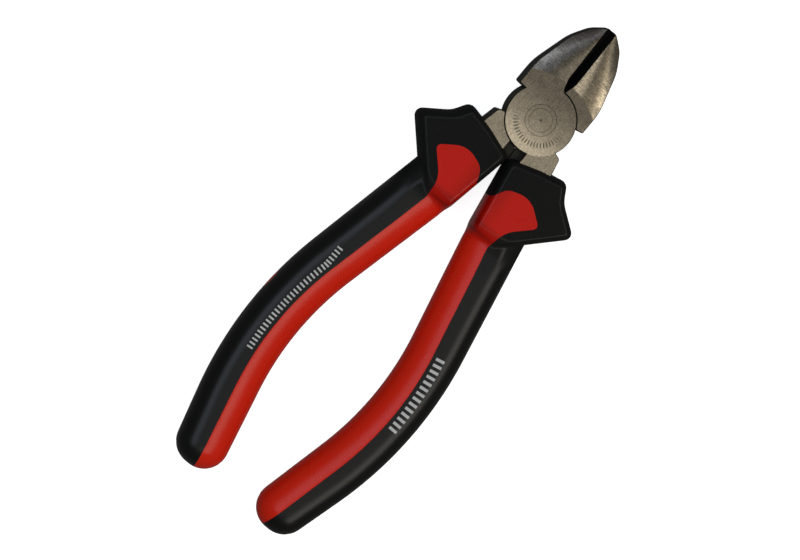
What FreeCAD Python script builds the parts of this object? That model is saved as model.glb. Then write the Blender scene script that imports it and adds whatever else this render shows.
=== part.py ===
import FreeCAD, Part

import math
import os

import Sketcher

# Diagonal cutting pliers, 160 mm long, closed. Two forged levers cross in a half-lapped joint on a
# flush rivet, and each carries a two-part grip: a red core on the tang and a black cover over it.
# Frame: origin on the pivot axis at the rear face of the head, +Y to the jaw tips, +X to the right,
# +Z out of the front face. The rear lever and its grip are the front ones turned over about +Y.

SIZES = {
    # head and lap joint
    "head_thickness": 10.0,
    "disc_radius": 9.65,
    "disc_gap": 0.2,          # between the joint disc and the socket it turns in
    "lap_gap": 0.04,          # between the two half-thickness discs
    "edge_gap": 0.01,         # from the cutting edge to the plane where both edges meet
    "tip_reach": 30.4,
    "jaw_half_width": 10.9,
    "heel_reach": 4.2,        # jaw heel and neck shoulder, the two faces that stop the opening
    "head_edge_break": 0.2,
    # ground bevels on both faces of the jaws
    "bevel_axis_offset": -9.0,
    "bevel_start_radius": 21.0,
    "bevel_end_radius": 45.0,
    "bevel_drop": 4.1,
    # groove ground along the cutting edges
    "groove_half_width": 1.45,
    "groove_throat_half_width": 0.4,
    "groove_start": 13.3,
    "edge_land": 0.2,
    # rivet
    "rivet_radius": 3.0,
    "rivet_head_radius": 4.2,
    "rivet_head_depth": 1.4,
    "rivet_clearance": 0.04,
    # neck, web and tang
    "neck_inner": 2.75,
    "neck_outer": 12.8,
    "neck_end": 26.0,
    "web_start": 8.0,
    "web_end": 15.0,
    "web_reach": 4.5,
    "web_thickness": 5.0,
    "web_gap": 0.15,
    "tang_width": 6.0,
    "tang_thickness": 5.0,
    "tang_end": 117.0,
    # grips
    "grip_end": 129.5,
    "grip_thickness": 13.5,
    "grip_edge_radius": 6.0,
    "guard_thickness": 15.5,
    "guard_edge_radius": 2.0,
    "sleeve_wall": 1.2,
    "window_half_length": 3.2,
    "window_half_height": 1.9,
    "window_place": 77.5,     # behind the pivot
    "window_plug_start": 20.0,
    "window_plug_length": 12.0,
}

# Straight flanks of the curved handle, as X = start + slope * distance behind the pivot.
OUTER_FRONT = (12.6, 0.2117)
OUTER_REAR = (55.6, -0.279)
INNER_FRONT = (-4.4, 0.237)
INNER_REAR = (35.1, -0.2333)
SEAM_FRONT = (3.6, 0.2185)
SEAM_REAR = (42.6, -0.237)


def along(flank, behind):
    """X of a handle flank at a distance behind the pivot."""
    return flank[0] + flank[1] * behind


def crest(front, rear):
    """Corner (X, Y) where a front and a rear flank would meet."""
    behind = (rear[0] - front[0]) / (front[1] - rear[1])
    return along(front, behind), -behind


def make_sheet(doc):
    sheet = doc.addObject("Spreadsheet::Sheet", "Sizes")
    for row, (alias, value) in enumerate(SIZES.items(), start=1):
        sheet.set(f"A{row}", alias)
        sheet.set(f"B{row}", str(value))
        sheet.setAlias(f"B{row}", alias)
    doc.recompute()
    return sheet


def rounded_outline(corners):
    """Closed outline through (x, y) or (x, y, radius) corners, with a tangent arc at each radius."""
    points = [FreeCAD.Vector(c[0], c[1], 0) for c in corners]
    radii = [c[2] if len(c) > 2 else 0.0 for c in corners]
    joints = []
    for i, point in enumerate(points):
        to_last = (points[i - 1] - point).normalize()
        to_next = (points[(i + 1) % len(points)] - point).normalize()
        if radii[i] == 0.0:
            joints.append((point, None, point))
            continue
        half = to_last.getAngle(to_next) / 2
        setback = radii[i] / math.tan(half)
        bisector = (to_last + to_next).normalize()
        middle = point + bisector * (radii[i] / math.sin(half) - radii[i])
        joints.append((point + to_last * setback, middle, point + to_next * setback))
    edges = []
    for i, (start, middle, end) in enumerate(joints):
        if middle is not None:
            edges.append(Part.Arc(start, middle, end))
        following = joints[(i + 1) % len(joints)][0]
        if end.distanceToPoint(following) > 1e-6:
            edges.append(Part.LineSegment(end, following))
    return edges


def add_sketch(body, name, geometry, role="XY_Plane", offset=None):
    """Sketch on one of the body's origin planes, moved along its normal by an expression."""
    sketch = body.newObject("Sketcher::SketchObject", name)
    plane = next(feature for feature in body.Origin.OriginFeatures if feature.Role == role)
    sketch.AttachmentSupport = [(plane, "")]
    sketch.MapMode = "FlatFace"
    if offset is not None:
        sketch.setExpression("AttachmentOffset.Base.z", offset)
    sketch.addGeometry(geometry, False)
    return sketch


def add_circle_sketch(body, name, radius, offset=None):
    """Sketch of one circle about the pivot, its radius bound to the sheet."""
    circle = Part.Circle(FreeCAD.Vector(0, 0, 0), FreeCAD.Vector(0, 0, 1), 1.0)
    sketch = add_sketch(body, name, [circle], offset=offset)
    sketch.addConstraint(Sketcher.Constraint("Coincident", 0, 3, -1, 1))
    bound = sketch.addConstraint(Sketcher.Constraint("Radius", 0, 1.0))
    sketch.setExpression(f"Constraints[{bound}]", radius)
    return sketch


def add_pad(body, name, sketch, length):
    pad = body.newObject("PartDesign::Pad", name)
    pad.Profile = sketch
    pad.setExpression("Length", length)
    return pad


def add_groove(body, name, sketch):
    """Full turn cut about the sketch's vertical axis."""
    groove = body.newObject("PartDesign::Groove", name)
    groove.Profile = sketch
    groove.ReferenceAxis = (sketch, ["V_Axis"])
    groove.Angle = 360
    return groove


def edges_at_height(shape, height):
    """Names of the edges that lie flat at one height."""
    names = []
    for number, edge in enumerate(shape.Edges, start=1):
        box = edge.BoundBox
        if abs(box.ZMin - height) < 1e-4 and abs(box.ZMax - height) < 1e-4:
            names.append(f"Edge{number}")
    return names


def side_edges(shape):
    """Names of the edges between a ground face and a side, except in the bore, socket and groove."""
    size = SIZES
    socket = size["disc_radius"] + size["disc_gap"]
    hidden = -12.0
    names = []
    for number, edge in enumerate(shape.Edges, start=1):
        middle = edge.valueAt((edge.FirstParameter + edge.LastParameter) / 2)
        reach = math.hypot(middle.x, middle.y)
        if reach < size["rivet_head_radius"] + 0.5 or abs(reach - socket) < 0.02 or middle.y < hidden:
            continue
        if abs(middle.x) < size["groove_half_width"] + 0.9 and middle.y > size["heel_reach"]:
            continue
        if abs(middle.z - size["head_thickness"] / 2) < size["web_thickness"] / 2 + 0.1:
            continue
        tilts = []
        for face in shape.Faces:
            if any(other.isSame(edge) for other in face.Edges):
                tilts.append(abs(face.normalAt(*face.Surface.parameter(middle)).z))
        if len(tilts) == 2 and min(tilts) < 0.01 and max(tilts) > 0.9:
            names.append(f"Edge{number}")
    return names


def jaw_outline():
    """Left jaw in plan: straight cutting edge, curved back, heel."""
    size = SIZES
    wide = size["jaw_half_width"]
    heel = size["heel_reach"]
    tip = size["tip_reach"]
    inner = -size["edge_gap"]
    root = 2.0
    return rounded_outline([
        (inner, root),
        (inner, tip),
        (-1.4, tip, 2.2),
        (-5.0, 27.5, 8.0),
        (-8.0, 22.4, 14.0),
        (-wide, 11.5, 17.0),
        (-wide, heel + 0.1, 0.5),
        (-8.6, heel - 0.1),
        (-5.0, root),
    ])


def neck_outline():
    """Right neck in plan: shoulder, outer side, the part hidden in the grip, inner side."""
    size = SIZES
    inner = size["neck_inner"]
    outer = size["neck_outer"]
    heel = size["heel_reach"]
    end = size["neck_end"]
    root = 2.0
    return rounded_outline([
        (5.0, -root),
        (8.6, -heel + 0.1),
        (10.6, -heel - 0.6, 0.8),
        (outer, -14.5, 4.0),
        (outer - 0.7, -end),
        (7.0, -end),
        (inner, -14.0, 3.0),
        (inner, -root),
    ])


def handle_band(extra):
    """Band along the handle, as wide as the tang plus extra on each side."""
    half = SIZES["tang_width"] / 2 + extra
    front = [(OUTER_FRONT[i] + INNER_FRONT[i]) / 2 for i in range(2)]
    rear = [(OUTER_REAR[i] + INNER_REAR[i]) / 2 for i in range(2)]
    top_x, top_y = crest(front, rear)
    start = 22.0 - extra
    end = SIZES["tang_end"] + extra
    bend = 94.0
    return rounded_outline([
        (along(front, start) + half, -start),
        (top_x + half, top_y, bend + half),
        (along(rear, end) + half, -end, 2.2),
        (along(rear, end) - half, -end, 2.2),
        (top_x - half, top_y, bend - half),
        (along(front, start) - half, -start),
    ])


def groove_section(body, name, half_width, depth, place):
    """Section across the jaw of what the groove wheel takes off the front side."""
    size = SIZES
    edge = -size["edge_gap"]
    land = (size["head_thickness"] + size["edge_land"]) / 2
    surface = size["head_thickness"] - depth
    above = size["head_thickness"] + 2.0
    clear = 1.0
    corners = [(clear, land), (edge, land), (-half_width, surface), (-half_width, above), (clear, above)]
    return add_sketch(body, name, rounded_outline(corners), "XZ_Plane", place)


def mirrored_section(body, name, half_width, depth, place):
    """The same section on the rear side of the jaw."""
    size = SIZES
    edge = -size["edge_gap"]
    land = (size["head_thickness"] - size["edge_land"]) / 2
    clear = 1.0
    corners = [(clear, land), (edge, land), (-half_width, depth), (-half_width, -2.0), (clear, -2.0)]
    return add_sketch(body, name, rounded_outline(corners), "XZ_Plane", place)


def cut_jaw_faces(body):
    """Conical bevels on both faces of the jaw, and the groove along its cutting edge."""
    size = SIZES
    high = size["head_thickness"]
    start = size["bevel_start_radius"]
    end = size["bevel_end_radius"]
    drop = size["bevel_drop"]
    axis = "-Sizes.bevel_axis_offset"
    front = rounded_outline([(start, high), (end, high - drop), (end, high + 1), (start, high + 1)])
    rear = rounded_outline([(start, 0), (end, drop), (end, -1), (start, -1)])
    add_groove(body, "FrontBevel", add_sketch(body, "FrontBevelSketch", front, "XZ_Plane", axis))
    add_groove(body, "RearBevel", add_sketch(body, "RearBevelSketch", rear, "XZ_Plane", axis))

    slope = drop / (end - start)
    past_tip = size["tip_reach"] + 1.0
    tip_depth = slope * (past_tip - size["bevel_axis_offset"] - start)
    wide = size["groove_half_width"]
    narrow = size["groove_throat_half_width"]
    for side, section in (("Front", groove_section), ("Rear", mirrored_section)):
        stations = [
            ("Throat", narrow, 0.0, "-(Sizes.disc_radius + Sizes.disc_gap)"),
            ("Start", wide, 0.0, "-Sizes.groove_start"),
            ("Tip", wide, tip_depth, "-(Sizes.tip_reach + 1)"),
        ]
        sketches = [section(body, side + station[0], *station[1:]) for station in stations]
        for first, second in ((0, 1), (1, 2)):
            loft = body.newObject("PartDesign::SubtractiveLoft", f"{side}Groove{second}")
            loft.Profile = sketches[first]
            loft.Sections = [sketches[second]]
            loft.Ruled = True


def make_lever(doc, name, clearance):
    """One forged lever: half disc, full-thickness jaw and neck, web and tang."""
    size = SIZES
    body = doc.addObject("PartDesign::Body", name)
    half_up = "(Sizes.head_thickness + Sizes.lap_gap) / 2"

    disc = add_circle_sketch(body, "DiscSketch", "Sizes.disc_radius", half_up)
    add_pad(body, "Disc", disc, "(Sizes.head_thickness - Sizes.lap_gap) / 2")
    jaw = add_sketch(body, "JawSketch", jaw_outline())
    add_pad(body, "Jaw", jaw, "Sizes.head_thickness")
    doc.recompute()
    cut_jaw_faces(body)

    neck = add_sketch(body, "NeckSketch", neck_outline())
    add_pad(body, "Neck", neck, "Sizes.head_thickness")
    web = rounded_outline([
        (size["web_gap"], -size["web_start"]),
        (size["web_gap"], -size["web_end"] + 1.5, 1.0),
        (size["web_reach"], -size["web_end"]),
        (size["web_reach"], -size["web_start"]),
    ])
    web_bottom = "(Sizes.head_thickness - Sizes.web_thickness) / 2"
    add_pad(body, "Web", add_sketch(body, "WebSketch", web, offset=web_bottom), "Sizes.web_thickness")
    doc.recompute()

    socket = body.newObject("PartDesign::Pocket", "Socket")
    socket.Profile = add_circle_sketch(body, "SocketSketch", "Sizes.disc_radius + Sizes.disc_gap")
    socket.Reversed = True
    socket.setExpression("Length", half_up)

    tang_bottom = "(Sizes.head_thickness - Sizes.tang_thickness) / 2"
    tang = add_sketch(body, "TangSketch", handle_band(0.0), offset=tang_bottom)
    add_pad(body, "Tang", tang, "Sizes.tang_thickness")

    high = size["head_thickness"]
    shank = size["rivet_radius"] + clearance
    head = size["rivet_head_radius"] + clearance
    bore = rounded_outline([
        (0, high / 2 - 1),
        (shank, high / 2 - 1),
        (shank, high - size["rivet_head_depth"]),
        (head, high),
        (0, high),
    ])
    bored = add_groove(body, "Bore", add_sketch(body, "BoreSketch", bore, "XZ_Plane"))
    doc.recompute()

    chamfer = body.newObject("PartDesign::Chamfer", "EdgeBreak")
    chamfer.Base = (bored, side_edges(bored.Shape))
    chamfer.setExpression("Size", "Sizes.head_edge_break")
    doc.recompute()
    return body


def make_rivet(doc, name):
    """Joint rivet with both ends set into countersinks and ground flush."""
    size = SIZES
    high = size["head_thickness"]
    depth = size["rivet_head_depth"]
    body = doc.addObject("PartDesign::Body", name)
    half_section = rounded_outline([
        (0, 0),
        (size["rivet_head_radius"], 0),
        (size["rivet_radius"], depth),
        (size["rivet_radius"], high - depth),
        (size["rivet_head_radius"], high),
        (0, high),
    ])
    sketch = add_sketch(body, "RivetSketch", half_section, "XZ_Plane")
    turned = body.newObject("PartDesign::Revolution", "Rivet")
    turned.Profile = sketch
    turned.ReferenceAxis = (sketch, ["V_Axis"])
    turned.Angle = 360
    doc.recompute()
    return body


def handle_outline():
    """Right handle in plan, from inside the guard to its round end."""
    start = 20.0
    end = SIZES["grip_end"]
    end_radius = 6.7
    return rounded_outline([
        (along(OUTER_FRONT, start), -start),
        (*crest(OUTER_FRONT, OUTER_REAR), 105.0),
        (along(OUTER_REAR, end), -end, end_radius),
        (along(INNER_REAR, end), -end, end_radius),
        (*crest(INNER_FRONT, INNER_REAR), 82.0),
        (along(INNER_FRONT, 37.0), -37.0, 15.0),
        (2.3, -25.0),
        (2.2, -start),
    ])


def guard_outline():
    """Right finger guard in plan."""
    return rounded_outline([
        (0.15, -12.6, 2.1),
        (9.0, -9.7, 20.0),
        (16.6, -8.1, 2.1),
        (19.3, -12.7, 8.0),
        (27.6, -18.6, 2.1),
        (11.1, -35.8, 3.0),
        (4.4, -35.8, 2.1),
        (1.8, -24.0, 40.0),
        (0.15, -15.0, 6.0),
    ])


def red_outline():
    """Plan of the red thumb pad and stripe, carried past the handle's inner side."""
    past = SIZES["grip_end"] + 3.0
    return rounded_outline([
        (-4.0, -24.6),
        (2.6, -24.0, 1.5),
        (4.6, -19.7, 4.0),
        (11.0, -17.6, 6.5),
        (17.8, -22.5, 1.2),
        (11.4, -29.0, 8.0),
        (10.6, -34.9, 3.0),
        (*crest(SEAM_FRONT, SEAM_REAR), 88.0),
        (along(SEAM_REAR, past), -past),
        (-4.0, -past),
    ])


def make_grip_form(doc, name):
    """Whole outside of one grip: handle and raised guard with rounded edges."""
    body = doc.addObject("PartDesign::Body", name)
    middle = SIZES["head_thickness"] / 2
    for piece, outline in (("grip", handle_outline()), ("guard", guard_outline())):
        bottom = f"(Sizes.head_thickness - Sizes.{piece}_thickness) / 2"
        sketch = add_sketch(body, piece.title() + "Sketch", outline, offset=bottom)
        pad = add_pad(body, piece.title() + "Pad", sketch, f"Sizes.{piece}_thickness")
        doc.recompute()
        half = SIZES[f"{piece}_thickness"] / 2
        rims = edges_at_height(pad.Shape, middle - half) + edges_at_height(pad.Shape, middle + half)
        fillet = body.newObject("PartDesign::Fillet", piece.title() + "Edges")
        fillet.Base = (pad, rims)
        fillet.setExpression("Radius", f"Sizes.{piece}_edge_radius")
        doc.recompute()
    return body


def make_prism(doc, name, outline, thickness):
    """Upright block of an outline, centred on the middle of the head's thickness."""
    body = doc.addObject("PartDesign::Body", name)
    sketch = add_sketch(body, name + "Sketch", outline, offset=f"(Sizes.head_thickness - {thickness}) / 2")
    add_pad(body, name + "Pad", sketch, thickness)
    doc.recompute()
    return body


def make_window(doc, name):
    """Oval plug of the core that shows through the outer side of the cover."""
    body = doc.addObject("PartDesign::Body", name)
    size = SIZES
    centre = FreeCAD.Vector(-size["window_place"], size["head_thickness"] / 2, 0)
    oval = Part.Ellipse(centre, size["window_half_length"], size["window_half_height"])
    sketch = add_sketch(body, name + "Sketch", [oval], "YZ_Plane", "Sizes.window_plug_start")
    add_pad(body, name + "Pad", sketch, "Sizes.window_plug_length")
    doc.recompute()
    return body


def combine(doc, kind, name, shapes):
    """Part boolean of two or more document objects."""
    result = doc.addObject(kind, name)
    if kind == "Part::Cut":
        result.Base, result.Tool = shapes
    else:
        result.Shapes = shapes
    doc.recompute()
    return result


def make_grip(doc, side, lever):
    """Core and cover of one grip, moulded round the neck and tang of a lever."""
    form = make_grip_form(doc, side + "Form")
    red = make_prism(doc, side + "Red", red_outline(), "(Sizes.guard_thickness + 2)")
    sleeve_height = "(Sizes.tang_thickness + 2 * Sizes.sleeve_wall)"
    sleeve = make_prism(doc, side + "Sleeve", handle_band(SIZES["sleeve_wall"]), sleeve_height)
    window = make_window(doc, side + "Window")
    core_space = combine(doc, "Part::MultiFuse", side + "CoreSpace", [red, sleeve, window])
    core_form = combine(doc, "Part::MultiCommon", side + "CoreForm", [form, core_space])
    core = combine(doc, "Part::Cut", side + "Core", [core_form, lever])
    cover_form = combine(doc, "Part::Cut", side + "CoverForm", [form, core_space])
    cover = combine(doc, "Part::Cut", side + "Cover", [cover_form, lever])
    return core, cover


def build(doc):
    """All sub-parts at rest, by node name. The left grip is cut by a lever that isn't turned over."""
    make_sheet(doc)
    clearance = SIZES["rivet_clearance"]
    turned_over = FreeCAD.Placement(
        FreeCAD.Vector(0, 0, SIZES["head_thickness"]),
        FreeCAD.Rotation(FreeCAD.Vector(0, 1, 0), 180),
    )
    nodes = {
        "front_lever": make_lever(doc, "FrontLever", 0.0),
        "rear_lever": make_lever(doc, "RearLever", clearance),
        "pivot_rivet": make_rivet(doc, "PivotRivet"),
    }
    left_tool = make_lever(doc, "LeftTool", clearance)
    nodes["right_grip_core"], nodes["right_grip_cover"] = make_grip(doc, "Right", nodes["front_lever"])
    nodes["left_grip_core"], nodes["left_grip_cover"] = make_grip(doc, "Left", left_tool)
    for label in ("rear_lever", "left_grip_core", "left_grip_cover"):
        nodes[label].Placement = turned_over
    for label, node in nodes.items():
        node.Label = label
    doc.recompute()
    return nodes


def check(doc, nodes):
    """Stop before writing anything if an object failed or a shape is not one valid solid."""
    for thing in doc.Objects:
        if "Invalid" in thing.State or "Error" in thing.State:
            raise RuntimeError(f"{thing.Name} failed: {thing.State}")
    for label, node in nodes.items():
        shape = node.Shape
        if shape.isNull() or not shape.isValid() or len(shape.Solids) != 1:
            raise RuntimeError(f"{label} is not one valid solid")


document = FreeCAD.newDocument("DiagonalCuttingPliers")
sub_parts = build(document)
check(document, sub_parts)
os.makedirs("parts", exist_ok=True)
for node_name, sub_part in sub_parts.items():
    sub_part.Shape.exportStep(f"parts/{node_name}.step")
    print(node_name, round(sub_part.Shape.Volume, 1), len(sub_part.Shape.Faces))
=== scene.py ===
import math
from collections import Counter

import bmesh
import bpy
import numpy as np
from mathutils import Matrix, Vector


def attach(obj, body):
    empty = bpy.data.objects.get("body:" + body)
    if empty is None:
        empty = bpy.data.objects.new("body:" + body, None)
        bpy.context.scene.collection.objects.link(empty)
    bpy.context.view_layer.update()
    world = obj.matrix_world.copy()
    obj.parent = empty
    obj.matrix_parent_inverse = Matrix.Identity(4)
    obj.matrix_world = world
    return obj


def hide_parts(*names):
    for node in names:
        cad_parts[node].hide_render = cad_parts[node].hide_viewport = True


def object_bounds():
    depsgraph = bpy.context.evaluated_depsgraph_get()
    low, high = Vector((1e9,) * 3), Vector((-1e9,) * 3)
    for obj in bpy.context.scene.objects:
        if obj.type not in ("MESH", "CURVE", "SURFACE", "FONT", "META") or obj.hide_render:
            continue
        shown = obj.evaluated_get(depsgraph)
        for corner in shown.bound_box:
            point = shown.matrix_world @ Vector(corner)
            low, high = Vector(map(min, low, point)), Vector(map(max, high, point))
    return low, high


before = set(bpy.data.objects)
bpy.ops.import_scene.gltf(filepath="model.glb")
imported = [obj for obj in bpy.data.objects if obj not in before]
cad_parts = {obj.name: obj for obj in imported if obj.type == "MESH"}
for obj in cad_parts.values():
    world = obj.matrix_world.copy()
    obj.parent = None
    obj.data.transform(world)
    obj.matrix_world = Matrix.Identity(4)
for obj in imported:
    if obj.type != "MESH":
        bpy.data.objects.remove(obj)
cad_box = [list(corner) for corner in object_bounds()]

# The grips are modelled in millimetres and turned into metres by place_piece(). The stage is in
# metres. Materials measure in millimetres, because Tree.place() gives millimetres.
MM = 0.001
MIDDLE = 5.0                    # height of the tool's middle plane
SCENE = bpy.context.scene


# ---------------------------------------------------------------- node helpers
class Tree:
    """A material's node tree, built from short calls that return sockets."""

    def __init__(self, name):
        self.material = bpy.data.materials.new(name)
        self.material.use_nodes = True
        self.nodes = self.material.node_tree.nodes
        self.links = self.material.node_tree.links
        self.nodes.clear()
        self.shader = self.nodes.new("ShaderNodeBsdfPrincipled")
        output = self.nodes.new("ShaderNodeOutputMaterial")
        self.links.new(self.shader.outputs[0], output.inputs[0])

    def set(self, socket, value):
        """Links a socket, or sets a plain value."""
        if isinstance(value, bpy.types.NodeSocket):
            self.links.new(value, socket)
        else:
            socket.default_value = value

    def shade(self, **values):
        """Sets the shader's inputs, with _ for each space in a name."""
        for name, value in values.items():
            self.set(self.shader.inputs[name.replace("_", " ")], value)

    def math(self, operation, *values):
        node = self.nodes.new("ShaderNodeMath")
        node.operation = operation
        for socket, value in zip(node.inputs, values):
            self.set(socket, value)
        return node.outputs[0]

    def add(self, a, b):
        return self.math("ADD", a, b)

    def sub(self, a, b):
        return self.math("SUBTRACT", a, b)

    def mul(self, a, b):
        return self.math("MULTIPLY", a, b)

    def max(self, a, b):
        return self.math("MAXIMUM", a, b)

    def abs(self, a):
        return self.math("ABSOLUTE", a)

    def radius(self, x, y):
        return self.math("SQRT", self.add(self.mul(x, x), self.mul(y, y)))

    def ramp(self, value, low, high, to_low=0.0, to_high=1.0):
        """A smooth step from to_low at low to to_high at high."""
        node = self.nodes.new("ShaderNodeMapRange")
        node.interpolation_type = "SMOOTHSTEP"
        for socket, entry in zip(node.inputs, (value, low, high, to_low, to_high)):
            self.set(socket, entry)
        return node.outputs[0]

    def near(self, value, centre, reach):
        """1 within reach of centre, with a soft edge."""
        away = self.abs(self.sub(value, centre))
        return self.ramp(away, reach * 1.35, reach * 0.65)

    def vary(self, value, amount):
        """A noise value as a change of up to half the amount each way."""
        return self.mul(self.sub(value, 0.5), amount)

    def mix(self, factor, a, b):
        """Colour a at factor 0, colour b at factor 1."""
        node = self.nodes.new("ShaderNodeMix")
        node.data_type = "RGBA"
        self.set(node.inputs["Factor"], factor)
        self.set(node.inputs[6], a)
        self.set(node.inputs[7], b)
        return node.outputs[2]

    def scale(self, vector, factor):
        node = self.nodes.new("ShaderNodeVectorMath")
        node.operation = "SCALE"
        self.set(node.inputs[0], vector)
        self.set(node.inputs["Scale"], factor)
        return node.outputs[0]

    def split(self, vector):
        node = self.nodes.new("ShaderNodeSeparateXYZ")
        self.set(node.inputs[0], vector)
        return node.outputs

    def stretch(self, x, y, z, factors):
        """The place, scaled by its own factor along each axis."""
        node = self.nodes.new("ShaderNodeCombineXYZ")
        for socket, value, factor in zip(node.inputs, (x, y, z), factors):
            self.set(socket, self.mul(value, factor))
        return node.outputs[0]

    def noise(self, vector, scale, detail=2.0, roughness=0.5):
        node = self.nodes.new("ShaderNodeTexNoise")
        self.set(node.inputs["Vector"], vector)
        node.inputs["Scale"].default_value = scale
        node.inputs["Detail"].default_value = detail
        node.inputs["Roughness"].default_value = roughness
        return node.outputs["Fac"]

    def bump(self, height, distance, normal=None):
        """A bumped normal; the distance is in metres."""
        node = self.nodes.new("ShaderNodeBump")
        node.inputs["Distance"].default_value = distance
        node.inputs["Strength"].default_value = 1.0
        self.set(node.inputs["Height"], height)
        if normal is not None:
            self.set(node.inputs["Normal"], normal)
        return node.outputs[0]

    def place(self):
        """The place on the object in millimetres, and its normal."""
        node = self.nodes.new("ShaderNodeTexCoord")
        return self.scale(node.outputs["Object"], 1 / MM), node.outputs["Normal"]


def opaque(red, green, blue):
    return red, green, blue, 1.0


# ---------------------------------------------------------------- steel
RING_RADII = (4.25, 3.2)        # etched on the rivet
RING_HALF_WIDTHS = (0.10, 0.07)
RING_STRENGTH = 0.75            # beside 1 for the strokes
STROKE_PITCH = 0.125            # radians from one etched stroke to the next
STROKE_SHIFT = 2.70             # where the first stroke starts
STROKE_ARC = (-1.45, 1.26)      # the arc's middle and half its spread, in radians
STROKE_BAND = (6.7, 0.68)       # radius of the arc's middle, and half a stroke's length
MARK_DARKNESS = 0.72

# Each pair holds the two ends of a soft edge.
DOT_RADIUS = (0.45, 0.35)
FRONT_FACE = (9.6, 9.9)         # height, where the etched marks start
FLAT_NORMAL = (0.80, 0.92)      # upright part of the normal, from forged side to ground face
FACE_HEIGHT = (4.2, 4.8)        # from the middle plane
JAW_START = (1.5, 2.5)
DISC_RADIUS = (9.7, 9.5)
GROOVE_HALF_WIDTH = (2.4, 1.9)
GROOVE_START = (9.0, 9.6)
BEVEL_RADIUS = (20.7, 21.3)     # of the arc where the bevels start
CROWN_RADIUS = (20.5, 24.0)
LEFT_TO_RIGHT = (-1.0, 1.0)     # X, from the left jaw's painted light to the right jaw's

BEVEL_CENTRE = 9.0              # of the arc where the bevels start, behind the pivot
JAW_TAPER = (10.0, 32.5, 10.4, 1.8)     # from Y to Y, from half width to half width
LEAST_HALF_WIDTH = 2.0
CROWN_START, CROWN_FALL = 0.55, 1.6     # share of the half width, and how far the back falls away

GRAIN = (2.2, 5.0, 0.75)        # scale, detail and roughness of a noise
MOTTLE = (0.5, 3.0)
SCALE_MARKS = (1.5, 3.0, 0.6)
GRINDING = (1.0, 4.0, 0.65)
PAINTED_GLINT_NOISE = (1.0, 3.0, 0.7)
ACROSS, LENGTHWISE = (0.30, 4.2, 0.2), (2.4, 0.22, 0.2)     # scale along X, Y and Z
PAINTED_GLINT_STRETCH = (1.4, 5.5, 0.6)

GROUND_ROUGHNESS, FORGED_ROUGHNESS, GROOVE_ROUGHNESS = 0.34, 0.55, 0.95
SCRATCH_DEPTH, CROWN_DEPTH = 0.000018, 0.001    # metres
FORGED_DARK, FORGED_LIGHT = opaque(0.018, 0.017, 0.013), opaque(0.045, 0.041, 0.032)
PAINTED_GROOVE_SHADE = opaque(0.004, 0.004, 0.004)
PAINTED_COOL_REFLECTION = opaque(0.43, 0.392, 0.348)


def etched(t, x, y, z):
    """1 on the front face's plain rings and dot and on its arc of short strokes."""
    r = t.radius(x, y)
    rings = t.ramp(r, *DOT_RADIUS)
    for radius, half_width in zip(RING_RADII, RING_HALF_WIDTHS):
        rings = t.max(rings, t.near(r, radius, half_width))
    angle = t.math("ARCTAN2", y, x)
    turn = t.math("FRACT", t.mul(t.add(angle, STROKE_SHIFT), 1 / STROKE_PITCH))
    strokes = t.near(turn, 0.5, 0.20)
    strokes = t.mul(strokes, t.near(r, *STROKE_BAND))
    strokes = t.mul(strokes, t.near(angle, *STROKE_ARC))
    return t.mul(t.max(t.mul(rings, RING_STRENGTH), strokes), t.ramp(z, *FRONT_FACE))


def painted_face_light(t, x, y):
    """Painted light and shade on the flat ground faces: falls towards the jaws, rises at the disc's
    rear.
    """
    disc = t.ramp(t.radius(x, y), *DISC_RADIUS)
    rear = t.mul(disc, t.ramp(y, 0.0, -9.0, 0.0, 0.95))
    return t.mul(t.ramp(y, -3.0, 9.0, 0.82, 0.40), t.add(1.0, rear))


def painted_bevel_light(t, x, share):
    """Painted highlights and shade across a bevel, where share is 0 at the edges and 1 at the jaw's
    back.
    """
    def by_side(left, right):
        return t.ramp(x, *LEFT_TO_RIGHT, left, right)

    inner = t.ramp(share, 0.26, 0.52, by_side(0.85, 1.70), by_side(0.42, 0.55))
    outer = t.ramp(share, 0.70, 1.0, 1.0, by_side(2.4, 3.0))
    return t.mul(inner, outer)


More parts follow.
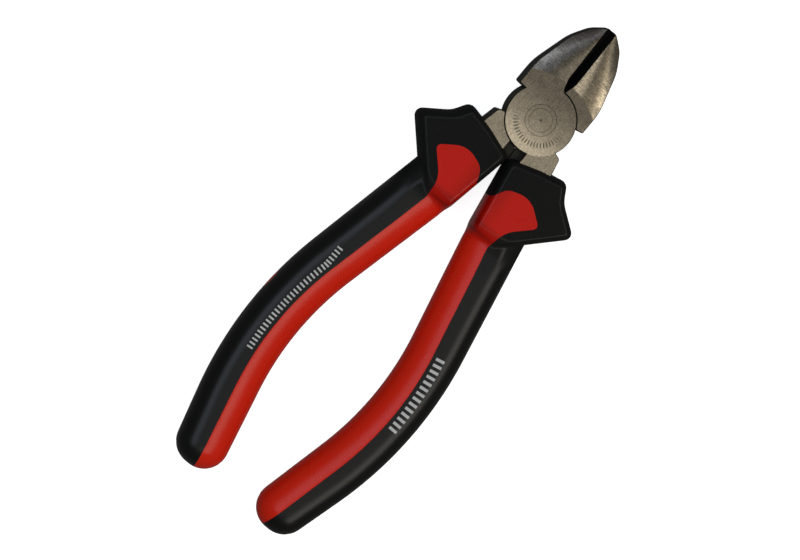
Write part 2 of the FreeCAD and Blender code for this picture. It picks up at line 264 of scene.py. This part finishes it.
def steel(name, bright):
    """Ground faces in bright metal under painted light and shade, the forged sides nearly black, the
    groove painted nearly black as shade.
    """
    t = Tree(name)
    at, normal = t.place()
    x, y, z = t.split(at)
    side = t.abs(x)
    flat = t.ramp(t.abs(t.split(normal)[2]), *FLAT_NORMAL)
    on_face = t.ramp(t.abs(t.sub(z, MIDDLE)), *FACE_HEIGHT)
    ground = t.mul(flat, t.max(on_face, t.ramp(y, *JAW_START)))
    slot = t.mul(t.ramp(side, *GROOVE_HALF_WIDTH), t.ramp(y, *GROOVE_START))
    groove = t.mul(slot, t.sub(1.0, flat))
    reach = t.radius(x, t.add(y, BEVEL_CENTRE))
    bevel = t.ramp(reach, *BEVEL_RADIUS)
    half_width = t.max(t.ramp(y, *JAW_TAPER), LEAST_HALF_WIDTH)
    share = t.math("DIVIDE", side, half_width)

    # grinding marks: across on the bevels, lengthwise on the flat faces
    grain = t.noise(at, *GRAIN)
    mottle = t.noise(at, *MOTTLE)
    across = t.noise(t.stretch(x, y, z, ACROSS), *GRINDING)
    lengthwise = t.noise(t.stretch(x, y, z, LENGTHWISE), *GRINDING)
    lines = t.add(t.mul(across, bevel), t.mul(lengthwise, t.sub(1.0, bevel)))
    # painted glints: specks of highlight for the bevels
    painted_glints = t.ramp(t.noise(t.stretch(x, y, z, PAINTED_GLINT_STRETCH), *PAINTED_GLINT_NOISE), 0.54, 0.66)
    grain_and_painted_glints = t.add(t.sub(1.0, t.mul(bevel, 0.12)), t.vary(grain, 2.2))
    grain_and_painted_glints = t.add(grain_and_painted_glints, t.vary(mottle, 0.5))
    grain_and_painted_glints = t.add(grain_and_painted_glints, t.vary(lines, t.add(0.8, t.mul(bevel, 0.9))))
    # painted highlight: the glints brighten the bevels, more on the right jaw
    grain_and_painted_glints = t.add(grain_and_painted_glints, t.mul(t.mul(painted_glints, bevel), t.ramp(x, *LEFT_TO_RIGHT, 0.60, 0.95)))

    # painted light and shade: the faces' and bevels' brightness by place, times the grain and painted
    # glints
    shade = t.add(
        t.mul(t.sub(1.0, bevel), painted_face_light(t, x, y)),
        t.mul(bevel, painted_bevel_light(t, x, share)),
    )
    shade = t.max(t.mul(grain_and_painted_glints, shade), 0.02)
    shade = t.mul(shade, t.sub(1.0, t.mul(etched(t, x, y, z), MARK_DARKNESS)))
    # painted reflection: a cool tint on the left jaw's outer bevel
    on_left = t.sub(1.0, t.ramp(x, *LEFT_TO_RIGHT))
    painted_cool_mask = t.mul(t.mul(bevel, t.ramp(share, 0.45, 0.75)), on_left)
    metal = t.scale(t.mix(painted_cool_mask, bright, PAINTED_COOL_REFLECTION), shade)
    forged_and_groove_shade = t.mix(t.noise(at, *SCALE_MARKS), FORGED_DARK, FORGED_LIGHT)
    # painted shade: the groove nearly black
    forged_and_groove_shade = t.mix(groove, forged_and_groove_shade, PAINTED_GROOVE_SHADE)

    worn = t.add(GROUND_ROUGHNESS, t.vary(grain, 0.25))
    forged = t.add(FORGED_ROUGHNESS, t.mul(groove, GROOVE_ROUGHNESS - FORGED_ROUGHNESS))
    roughness = t.add(t.mul(worn, ground), t.mul(forged, t.sub(1.0, ground)))
    crown = t.math("POWER", t.max(t.sub(share, CROWN_START), 0.0), 2.0)
    crown = t.mul(t.mul(crown, -CROWN_FALL), t.ramp(reach, *CROWN_RADIUS))
    scratches = t.add(t.mul(grain, 0.5), lines)
    t.shade(
        Base_Color=t.mix(ground, forged_and_groove_shade, metal),
        Metallic=ground,
        Roughness=roughness,
        Specular_IOR_Level=0.1,
        Normal=t.bump(scratches, SCRATCH_DEPTH, t.bump(crown, CROWN_DEPTH)),
    )
    return t.material


# ---------------------------------------------------------------- plastic
# Each pair holds the two ends of a soft edge.
GUARD_REAR = (-38.0, -33.0)     # Y, where the handle's finish turns into the guard's
RIM_NORMAL = (0.9995, 0.97)     # upright part of the normal, from the guard's top to its rim
# where the painted shade on the guard's inner side fades out
INNER_SIDE = (8.5, 3.0)         # X, over the fold's inner end
INNER_END = (-36.0, -30.0)      # Y, over the fold's inner end

PAINTED_FOLD_SHADES = ((-32.6, 2.2, 0.28), (-33.4, 0.5, 0.20))      # Y, half width and strength of painted shade in the fold
INNER_PAINTED_SHADE = 0.30
DEEPEST_PAINTED_SHADE = 0.08             # of the guard's colour, left where the painted shade is deepest
FINE, BROAD, PORES = (4.0, 3.0, 0.6), (0.12, 2.0), (7.0, 2.0, 0.6)      # as for the steel


def plastic(name, colours, guard_colour, finish, specular, grain_depth):
    """Moulded plastic, darker on the finger guard, with painted shade in the fold behind it and on
    the guard's inner side.

    finish holds the roughness of the handle and of the guard's flat, and what its rim adds.
    """
    t = Tree(name)
    at, normal = t.place()
    x, y, _ = t.split(at)
    handle_finish, guard_finish, rim_finish = finish
    guard = t.ramp(y, *GUARD_REAR)
    rim = t.mul(guard, t.ramp(t.abs(t.split(normal)[2]), *RIM_NORMAL))
    # painted shade: darker on the guard's inner side and in the fold behind the guard
    painted_fold_shade = t.mul(t.ramp(t.abs(x), *INNER_SIDE), t.ramp(y, *INNER_END))
    painted_fold_shade = t.mul(painted_fold_shade, INNER_PAINTED_SHADE)
    for place, half_width, strength in PAINTED_FOLD_SHADES:
        painted_fold_shade = t.add(painted_fold_shade, t.mul(t.near(y, place, half_width), strength))
    fine, broad = t.noise(at, *FINE), t.noise(at, *BROAD)
    colour = t.mix(t.add(t.mul(fine, 0.4), t.mul(broad, 0.6)), *colours)
    colour = t.mix(guard, colour, guard_colour)
    painted_shade_colour = opaque(*(part * DEEPEST_PAINTED_SHADE for part in guard_colour[:3]))
    roughness = t.add(handle_finish, t.mul(guard, guard_finish - handle_finish))
    roughness = t.add(roughness, t.mul(rim, rim_finish))
    t.shade(
        Base_Color=t.mix(painted_fold_shade, colour, painted_shade_colour),
        Roughness=t.add(roughness, t.vary(fine, 0.12)),
        Specular_IOR_Level=specular,
        Normal=t.bump(t.noise(at, *PORES), grain_depth),
    )
    return t.material


def give(node, material):
    """Puts a material on a CAD node, leaving its mesh as it is."""
    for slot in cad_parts[node].material_slots:
        slot.link = "OBJECT"
        slot.material = material


# ---------------------------------------------------------------- outlines of the right grip
# Straight flanks of the curved handle, as X = start + slope * distance behind the pivot.
SEAM_FRONT, SEAM_REAR = (3.6, 0.2185), (42.6, -0.237)
OUTER_FRONT, OUTER_REAR = (12.6, 0.2117), (55.6, -0.279)
INNER_FRONT, INNER_REAR = (-4.4, 0.237), (35.1, -0.2333)
SPINE_FRONT, SPINE_REAR = (4.12, 0.225), (45.25, -0.256)
GRIP_END = 129.5                # behind the pivot
ARC_STEP = 0.7                  # longest chord on a rounded corner


def along(flank, behind):
    """Corner (X, Y) on a flank, at a distance behind the pivot."""
    return flank[0] + flank[1] * behind, -behind


def crest(front, rear):
    """Corner (X, Y) where a front and a rear flank would meet."""
    return along(front, (rear[0] - front[0]) / (front[1] - rear[1]))


def turned(vector, angle):
    """A plan vector turned anticlockwise."""
    c, s = math.cos(angle), math.sin(angle)
    return np.array((c * vector[0] - s * vector[1], s * vector[0] + c * vector[1]))


def rounded(corners):
    """A closed outline through corners given as (x, y) or (x, y, radius)."""
    points = []
    for i, corner in enumerate(corners):
        here = np.array(corner[:2], float)
        if len(corner) == 2:
            points.append(here)
            continue
        radius = corner[2]
        to_last = np.array(corners[i - 1][:2]) - here
        to_next = np.array(corners[(i + 1) % len(corners)][:2]) - here
        to_last, to_next = (v / np.linalg.norm(v) for v in (to_last, to_next))
        half = math.acos(np.clip(to_last @ to_next, -1, 1)) / 2
        bisector = (to_last + to_next) / np.linalg.norm(to_last + to_next)
        centre = here + bisector * radius / math.sin(half)
        start = here + to_last * radius / math.tan(half) - centre
        end = here + to_next * radius / math.tan(half) - centre
        turn = math.atan2(start[0] * end[1] - start[1] * end[0], start @ end)
        count = max(3, int(abs(turn) * radius / ARC_STEP) + 2)
        points += [centre + turned(start, angle) for angle in np.linspace(0, turn, count)]
    return np.array(points)


HANDLE = rounded([
    along(OUTER_FRONT, 20),
    (*crest(OUTER_FRONT, OUTER_REAR), 105),
    (*along(OUTER_REAR, GRIP_END), 6.7),
    (*along(INNER_REAR, GRIP_END), 6.7),
    (*crest(INNER_FRONT, INNER_REAR), 82),
    (*along(INNER_FRONT, 37), 15),
    (2.3, -25.0),
    (2.2, -20.0),
])
GUARD_OUTER = [
    (0.15, -12.6, 2.1),
    (9.0, -9.7, 20),
    (16.6, -8.1, 2.1),
    (19.3, -12.7, 8),
    (27.6, -18.6, 2.1),
    (11.1, -35.8, 3),
]
GUARD_INNER = [(1.8, -24.0, 40), (0.15, -15.0, 6)]
GUARD = rounded(GUARD_OUTER + [(4.4, -35.8, 2.1)] + GUARD_INNER)
# The guard's flat top runs on into the handle, where the fold takes it down.
GUARD_TOP = rounded(
    GUARD_OUTER + [(11.1, -44.0), (6.2, -44.0), along(INNER_FRONT, 33)] + GUARD_INNER
)
# Everything on the seam's inner side is red: the thumb pad and the stripe behind it.
RED = rounded([
    (-4.0, -24.6),
    (2.6, -24.0, 1.5),
    (4.6, -19.7, 4),
    (11.0, -17.6, 6.5),
    (17.8, -22.5, 1.2),
    (11.4, -29.0, 8),
    (10.6, -34.9, 3),
    (*crest(SEAM_FRONT, SEAM_REAR), 88),
    along(SEAM_REAR, 132.5),
    (-4.0, -132.5),
])


def inside(points, outline):
    """How far each point lies inside a closed outline, negative outside."""
    starts, ends = outline, np.roll(outline, -1, 0)
    edges = ends - starts
    keep = (edges ** 2).sum(1) > 1e-12
    flat = points.reshape(-1, 2)
    nearest = np.full(len(flat), np.inf)
    odd = np.zeros(len(flat), bool)
    for start, end, edge in zip(starts[keep], ends[keep], edges[keep]):
        offset = flat - start
        share = np.clip(offset @ edge / (edge @ edge), 0, 1)
        nearest = np.minimum(nearest, ((offset - share[:, None] * edge) ** 2).sum(1))
        if start[1] != end[1]:
            crosses = (start[1] > flat[:, 1]) != (end[1] > flat[:, 1])
            odd ^= crosses & (offset[:, 0] < edge[0] * offset[:, 1] / edge[1])
    return (np.sqrt(nearest) * np.where(odd, 1, -1)).reshape(points.shape[:-1])


# ---------------------------------------------------------------- skin of the right grip
HANDLE_WAY = (0.2195, -0.9756)  # along the handle's front part, away from the pivot
HANDLE_HALF = 6.75              # half thickness of the handle
WAIST_DIP, WAIST_AT, WAIST_REACH = 0.7, 37.0, 5.0       # the handle is thinner behind the guard
ROUND_WIDTH, ROUND_CHANGE = 7.2, 1.5                    # of the rounding, wider on the red side
ROUND_POWER = 2.25
GUARD_HALF, GUARD_RIM = 7.55, 1.9
BLEND = 0.5                     # height over which the handle and the guard run together
FOLD = (32.0, 36.2)             # the guard drops to the handle between these

SPINE_RADIUS = 94.0
SPINE_LEAD, SPINE_TAIL = 75.0, 60.0                     # straight runs before and after the bend
SPINE_STEP = 0.1
SEARCH = np.linspace(-16, 30, 461)                      # across the spine, to find the outline
HALVINGS = 16                   # of a search step, to close in on the outline
STRIPS = 60                     # over the grip from side to side
END_STEPS = (0.004, 0.03, 0.09, 0.18, 0.3, 0.45, 0.65, 0.9, 1.2, 1.55, 1.95)
GUARD_LENGTH, GUARD_STEP, HANDLE_STEP = 27.0, 0.34, 1.0


def swell(depth, width, power):
    """A rounded edge: 0 at the outline, 1 from width inwards."""
    share = np.clip(depth / width, 0, 1)
    return (1 - (1 - share) ** power) ** (1 / power)


def ease(value, low, high):
    """0 at low, 1 at high, smooth between them."""
    share = np.clip((value - low) / (high - low), 0, 1)
    return share * share * (3 - 2 * share)


def half_height(points):
    """Half the grip's thickness over each plan point."""
    behind = points @ np.array(HANDLE_WAY)
    crown = HANDLE_HALF - WAIST_DIP * np.exp(-(((behind - WAIST_AT) / WAIST_REACH) ** 2))
    width = ROUND_WIDTH + ROUND_CHANGE * np.tanh(inside(points, RED) / 2)
    handle = crown * swell(inside(points, HANDLE), width, ROUND_POWER)
    guard = GUARD_HALF * swell(inside(points, GUARD_TOP), GUARD_RIM, 2.0)
    both = (handle > 0) & (guard > 0)
    closeness = np.clip(1 - np.abs(handle - guard) / BLEND, 0, 1)
    joined = np.maximum(handle, guard) + np.where(both, closeness ** 2 * BLEND / 4, 0)
    fold = ease(behind, *FOLD)
    return joined + (handle - joined) * np.where(handle > 0, fold, 0)


def heading(slope):
    """Unit vector along a flank of this slope, away from the pivot."""
    return np.array((slope, -1.0)) / math.hypot(slope, 1)


def spine():
    """Points down the middle of the grip, one step apart, with their directions."""
    ahead, astern = heading(SPINE_FRONT[1]), heading(SPINE_REAR[1])
    bend = np.array(crest(SPINE_FRONT, SPINE_REAR))
    turn = math.acos(ahead @ astern)
    tangent = SPINE_RADIUS * math.tan(turn / 2)
    start = bend - ahead * tangent
    arm = np.array((-ahead[1], ahead[0])) * SPINE_RADIUS
    centre = start - arm
    arc = SPINE_RADIUS * turn
    places, ways = [], []
    for run in np.arange(-SPINE_LEAD, arc + SPINE_TAIL, SPINE_STEP):
        if run < 0:
            places.append(start + ahead * run)
            ways.append(ahead)
        elif run < arc:
            angle = -run / SPINE_RADIUS
            places.append(centre + turned(arm, angle))
            ways.append(turned(ahead, angle))
        else:
            places.append(bend + astern * (tangent + run - arc))
            ways.append(astern)
    return np.array(places), np.array(ways)


def covered(points):
    """Above 0 where the grip's plan covers a point."""
    return np.maximum(inside(points, HANDLE), inside(points, GUARD))


def spans(centres, across):
    """Where lines across the grip enter and leave its plan, one row for each line."""
    hit = covered(centres[:, None] + SEARCH[:, None] * across[:, None]) > 0
    first, last = hit.argmax(1), len(SEARCH) - 1 - hit[:, ::-1].argmax(1)
    ends = []
    for within, beyond in ((first, first - 1), (last, last + 1)):
        inner, outer = SEARCH[within], SEARCH[beyond]
        for _ in range(HALVINGS):
            middle = (inner + outer) / 2
            held = covered(centres + middle[:, None] * across) > 0
            inner, outer = np.where(held, middle, inner), np.where(held, outer, middle)
        ends.append(inner)
    return ends


def stations(first, last):
    """Distances along the spine: close together at both ends and over the guard."""
    front = [first + step for step in END_STEPS]
    back = [last - step * 1.6 for step in reversed(END_STEPS)]
    guard_end = first + GUARD_LENGTH
    over_guard = np.arange(front[-1] + GUARD_STEP, guard_end, GUARD_STEP)
    over_handle = np.arange(guard_end, back[0] - HANDLE_STEP / 2, HANDLE_STEP)
    return np.array([*front, *over_guard, *over_handle, *back])


def grip_mesh():
    """The right grip's outer skin: (vertices, faces)."""
    places, ways = spine()
    first = ((GUARD - places[0]) @ ways[0]).min()
    last = (len(places) - 1) * SPINE_STEP - ((places[-1] - HANDLE) @ ways[-1]).min()
    where = stations(first, last) / SPINE_STEP
    index = where.astype(int)
    part = (where - index)[:, None]
    centres = places[index] * (1 - part) + places[index + 1] * part
    across = np.column_stack((-ways[index][:, 1], ways[index][:, 0]))
    low, high = spans(centres, across)
    share = np.cos(np.linspace(0, math.pi, STRIPS + 1))
    offset = ((low + high) / 2)[:, None] + ((high - low) / 2)[:, None] * share
    plan = centres[:, None] + offset[..., None] * across[:, None]
    height = half_height(plan)
    height[:, 0] = height[:, -1] = 0
    rings = []
    for row, heights in zip(plan, height):
        top = np.column_stack((row, MIDDLE + heights))
        bottom = np.column_stack((row, MIDDLE - heights))[1:-1][::-1]
        rings.append(np.vstack((top, bottom)))
    count = len(rings[0])
    faces = []
    for base in range(0, (len(rings) - 1) * count, count):
        for k in range(count):
            a, b = base + k, base + (k + 1) % count
            faces.append((a, b, b + count, a + count))
    faces.append(tuple(range(count))[::-1])
    faces.append(tuple(range((len(rings) - 1) * count, len(rings) * count)))
    return np.vstack(rings), faces


# ---------------------------------------------------------------- pieces of the grips
WINDOW_AT, WINDOW_HALF_LENGTH, WINDOW_HALF_HEIGHT = 77.5, 3.2, 1.9
WINDOW_DEPTH = (20.0, 40.0)     # X at both ends of the cut
BLOCK_HEIGHT = (-20.0, 30.0)    # well past the grip, below and above
SEAM_TOLERANCE = 0.0004         # points nearer than this are one point
SHARP = math.radians(40)
PRINT_ROWS = 6                  # points along each stroke
PRINT_LIFT, PRINT_SINK = 0.03, -0.10

UPSIDE_DOWN = Matrix(((1, 0, 0, 0), (0, 1, 0, 0), (0, 0, -1, 2 * MIDDLE), (0, 0, 0, 1)))
TURNED_OVER = Matrix(((-1, 0, 0, 0), (0, 1, 0, 0), (0, 0, -1, 2 * MIDDLE), (0, 0, 0, 1)))


def straighten(mesh):
    """Turns every face outwards."""
    work = bmesh.new()
    work.from_mesh(mesh)
    bmesh.ops.recalc_face_normals(work, faces=work.faces)
    work.to_mesh(mesh)
    work.free()


def make_mesh(name, vertices, faces):
    mesh = bpy.data.meshes.new(name)
    mesh.from_pydata([tuple(v) for v in vertices], [], faces)
    mesh.validate()
    straighten(mesh)
    return mesh


def prism_mesh(name, near_ring, far_ring):
    """A closed block between two matching rings of points."""
    count = len(near_ring)
    faces = [(i, (i + 1) % count, (i + 1) % count + count, i + count) for i in range(count)]
    faces += [tuple(range(count))[::-1], tuple(range(count, 2 * count))]
    return make_mesh(name, [*near_ring, *far_ring], faces)


def red_block():
    """The space that the red moulding takes up, all the way through the grip."""
    low, high = ([(x, y, z) for x, y in RED] for z in BLOCK_HEIGHT)
    return prism_mesh("red_block", low, high)


def window_block():
    """The oval window in the cover's outer side."""
    ring = [
        (-WINDOW_AT + WINDOW_HALF_LENGTH * math.cos(angle),
         MIDDLE + WINDOW_HALF_HEIGHT * math.sin(angle))
        for angle in np.linspace(0, 2 * math.pi, 49)[:-1]
    ]
    near_ring, far_ring = ([(x, y, z) for y, z in ring] for x in WINDOW_DEPTH)
    return prism_mesh("window_block", near_ring, far_ring)


def clean(mesh):
    """Takes out what a boolean leaves at a seam: doubled points, slivers and folded flaps."""
    work = bmesh.new()
    work.from_mesh(mesh)
    bmesh.ops.remove_doubles(work, verts=work.verts, dist=SEAM_TOLERANCE)
    bmesh.ops.dissolve_degenerate(work, edges=work.edges, dist=SEAM_TOLERANCE)
    bmesh.ops.triangulate(work, faces=[face for face in work.faces if len(face.verts) > 4])
    alike = Counter(frozenset(face.verts) for face in work.faces)
    flaps = [
        face for face in work.faces
        if alike[frozenset(face.verts)] > 1 or any(edge.is_boundary for edge in face.edges)
    ]
    bmesh.ops.delete(work, geom=flaps, context="FACES")
    work.to_mesh(mesh)
    work.free()


def cut(mesh, cutter, operation):
    """The mesh that a boolean of two meshes leaves."""
    body = bpy.data.objects.new("cut_body", mesh)
    tool = bpy.data.objects.new("cut_tool", cutter)
    for obj in (body, tool):
        SCENE.collection.objects.link(obj)
    modifier = body.modifiers.new("cut", "BOOLEAN")
    modifier.operation, modifier.object, modifier.solver = operation, tool, "EXACT"
    bpy.context.view_layer.update()
    evaluated = body.evaluated_get(bpy.context.evaluated_depsgraph_get())
    made = bpy.data.meshes.new_from_object(evaluated)
    bpy.data.objects.remove(body)
    bpy.data.objects.remove(tool)
    clean(made)
    return made


def place_piece(name, mesh, side, material, replaced=()):
    """Turns a right-hand mesh in millimetres into a piece on its lever."""
    mesh = mesh.copy()
    mesh.name = name
    if side == "left":
        mesh.transform(TURNED_OVER)
    mesh.transform(Matrix.Scale(MM, 4))
    mesh.shade_smooth()
    mesh.set_sharp_from_angle(angle=SHARP)
    mesh.materials.clear()
    mesh.materials.append(material)
    piece = bpy.data.objects.new(name, mesh)
    SCENE.collection.objects.link(piece)
    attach(piece, "front_half" if side == "right" else "rear_half")
    if replaced:
        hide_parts(*replaced)


def print_mesh(name, first, last, pitch, width, low, high):
    """A row of plain strokes printed beside the seam, each a thin plate on the surface.

    The row runs from first to last behind the pivot. Each stroke reaches from low to high,
    measured across the handle from the seam.
    """
    seam = np.array([point for point in RED if point[1] < -36 and point[0] > 5])
    seam = seam[np.argsort(-seam[:, 1])]
    behind = np.linspace(first, last, int((last - first) / pitch) + 1)
    seam_x = np.interp(behind, -seam[:, 1], seam[:, 0])
    under = 2 * PRINT_ROWS
    vertices, faces = [], []
    for distance, x, slope in zip(behind, seam_x, np.gradient(seam_x, behind)):
        run = heading(slope)
        across = np.array((-run[1], run[0]))
        plan = np.array([
            np.array((x, -distance)) + run * along_row + across * offset
            for offset in np.linspace(low, high, PRINT_ROWS)
            for along_row in (-width / 2, width / 2)
        ])
        surface = MIDDLE + half_height(plan)
        base = len(vertices)
        for lift in (PRINT_LIFT, PRINT_SINK):
            vertices += [(px, py, pz + lift) for (px, py), pz in zip(plan, surface)]
        end = base + under - 2
        for a in range(base, end, 2):
            b = a + under
            faces += [(a, a + 2, a + 3, a + 1), (b, b + 1, b + 3, b + 2)]
            faces += [(a, b, b + 2, a + 2), (a + 1, a + 3, b + 3, b + 1)]
        faces.append((base, base + 1, base + under + 1, base + under))
        faces.append((end, end + under, end + under + 1, end + 1))
    return make_mesh(name, vertices, faces)


def make_grips(red, black, ink):
    """Cuts the right grip's skin into its colours, and places both grips and their print."""
    skin = make_mesh("grip_skin", *grip_mesh())
    block, window = red_block(), window_block()
    red_mesh, plug = cut(skin, block, "INTERSECT"), cut(skin, window, "INTERSECT")
    cover = cut(cut(skin, block, "DIFFERENCE"), window, "DIFFERENCE")
    for side in ("left", "right"):
        place_piece(side + "_red_grip", red_mesh, side, red, (side + "_grip_core",))
        place_piece(side + "_window_plug", plug, side, red)
        place_piece(
            side + "_black_grip", cover, side, black, (side + "_grip_cover",)
        )
    small = print_mesh(
        "small_print", first=60.0, last=95.0, pitch=1.15, width=0.50, low=1.05, high=2.75
    )
    small.transform(UPSIDE_DOWN)
    straighten(small)
    large = print_mesh(
        "large_print", first=66.5, last=88.0, pitch=1.55, width=0.80, low=1.1, high=3.6
    )
    place_piece("left_grip_print", small, "left", ink)
    place_piece("right_grip_print", large, "right", ink)


# ---------------------------------------------------------------- stage
CAMERA_TARGET = Vector((-0.00101, -0.0563, 0.005))
CAMERA_WAY = Vector((-0.135, 0.0, 1.0))                 # nearly straight above
CAMERA_DISTANCE = 1.769
CAMERA_UP = Vector((-0.6424, 0.7664, 0.0))              # the tool's tips point up to the right
LIGHT_TARGET = Vector((0.0, -0.05, 0.0))
LIGHT_SIZE = (0.56, 1.1)
FLOOR_REACH = 3.0
FLOOR_GAP = 0.0001              # under the tool's lowest face


def look_at(obj, target, up):
    back = (obj.location - target).normalized()
    right = up.cross(back).normalized()
    obj.matrix_world = Matrix.Translation(obj.location) @ Matrix(
        (right, back.cross(right), back)
    ).transposed().to_4x4()


def make_camera():
    data = bpy.data.cameras.new("camera")
    data.lens, data.sensor_width, data.clip_end = 300.0, 36.0, 20.0
    camera = bpy.data.objects.new("camera", data)
    SCENE.collection.objects.link(camera)
    camera.location = CAMERA_TARGET + CAMERA_WAY.normalized() * CAMERA_DISTANCE
    look_at(camera, CAMERA_TARGET, CAMERA_UP)
    SCENE.camera = camera


def make_light(name, place, radiance, colour):
    """A soft box over the tool, unseen by the camera."""
    data = bpy.data.lights.new(name, "AREA")
    data.shape, data.size, data.size_y = "RECTANGLE", *LIGHT_SIZE
    data.energy = radiance * math.pi * LIGHT_SIZE[0] * LIGHT_SIZE[1]
    data.color = colour
    lamp = bpy.data.objects.new(name, data)
    SCENE.collection.objects.link(lamp)
    lamp.location = Vector(place)
    look_at(lamp, LIGHT_TARGET, Vector((0.0, 1.0, 0.0)))
    lamp.visible_camera = False


def make_floor():
    """A pale floor, bright enough of itself to show plain behind the tool."""
    low, reach = cad_box[0][2] - FLOOR_GAP, FLOOR_REACH
    corners = [(-reach, -reach, low), (reach, -reach, low), (reach, reach, low), (-reach, reach, low)]
    mesh = bpy.data.meshes.new("floor")
    mesh.from_pydata(corners, [], [(0, 1, 2, 3)])
    floor = bpy.data.objects.new("floor", mesh)
    SCENE.collection.objects.link(floor)
    t = Tree("pale_floor")
    at, _ = t.place()
    t.shade(
        Base_Color=t.mix(t.noise(at, 0.02), opaque(0.86, 0.86, 0.86), opaque(0.9, 0.9, 0.9)),
        Roughness=0.9,
        Emission_Color=opaque(1, 1, 1),
        Emission_Strength=0.85,
    )
    mesh.materials.append(t.material)
    floor.visible_glossy = False
    floor.visible_diffuse = False


def make_studio():
    world = bpy.data.worlds.new("studio")
    world.use_nodes = True
    world.node_tree.nodes["Background"].inputs[0].default_value = opaque(0.11, 0.11, 0.11)
    SCENE.world = world
    SCENE.view_settings.view_transform = "Standard"
    make_light("left_box", (-0.34, -0.05, 1.0), 1.5, (0.80, 0.91, 1.06))
    make_light("right_box", (0.60, -0.05, 0.95), 2.4, (1.0, 0.94, 0.84))


make_camera()
make_floor()
make_studio()
lever_steel = steel("ground_lever_steel", opaque(0.44, 0.374, 0.272))
give("front_lever", lever_steel)
give("rear_lever", lever_steel)
give("pivot_rivet", steel("ground_rivet_steel", opaque(0.41, 0.348, 0.253)))
red_plastic = plastic(
    "red_plastic",
    colours=(opaque(0.76, 0.016, 0.003), opaque(0.86, 0.024, 0.005)),
    guard_colour=opaque(0.70, 0.010, 0.002),
    finish=(0.27, 0.27, 0.0),
    specular=0.27,
    grain_depth=0.000006,
)
black_rubber = plastic(
    "black_rubber",
    colours=(opaque(0.0030, 0.0030, 0.0027), opaque(0.0060, 0.0060, 0.0054)),
    guard_colour=opaque(0.0022, 0.0022, 0.0019),
    finish=(0.33, 0.22, 0.55),
    specular=0.34,
    grain_depth=0.000006,
)
pale_ink = plastic(
    "pale_ink",
    colours=(opaque(0.50, 0.51, 0.51), opaque(0.74, 0.75, 0.74)),
    guard_colour=opaque(0.60, 0.60, 0.60),
    finish=(0.45, 0.45, 0.0),
    specular=0.3,
    grain_depth=0.00001,
)
make_grips(red_plastic, black_rubber, pale_ink)
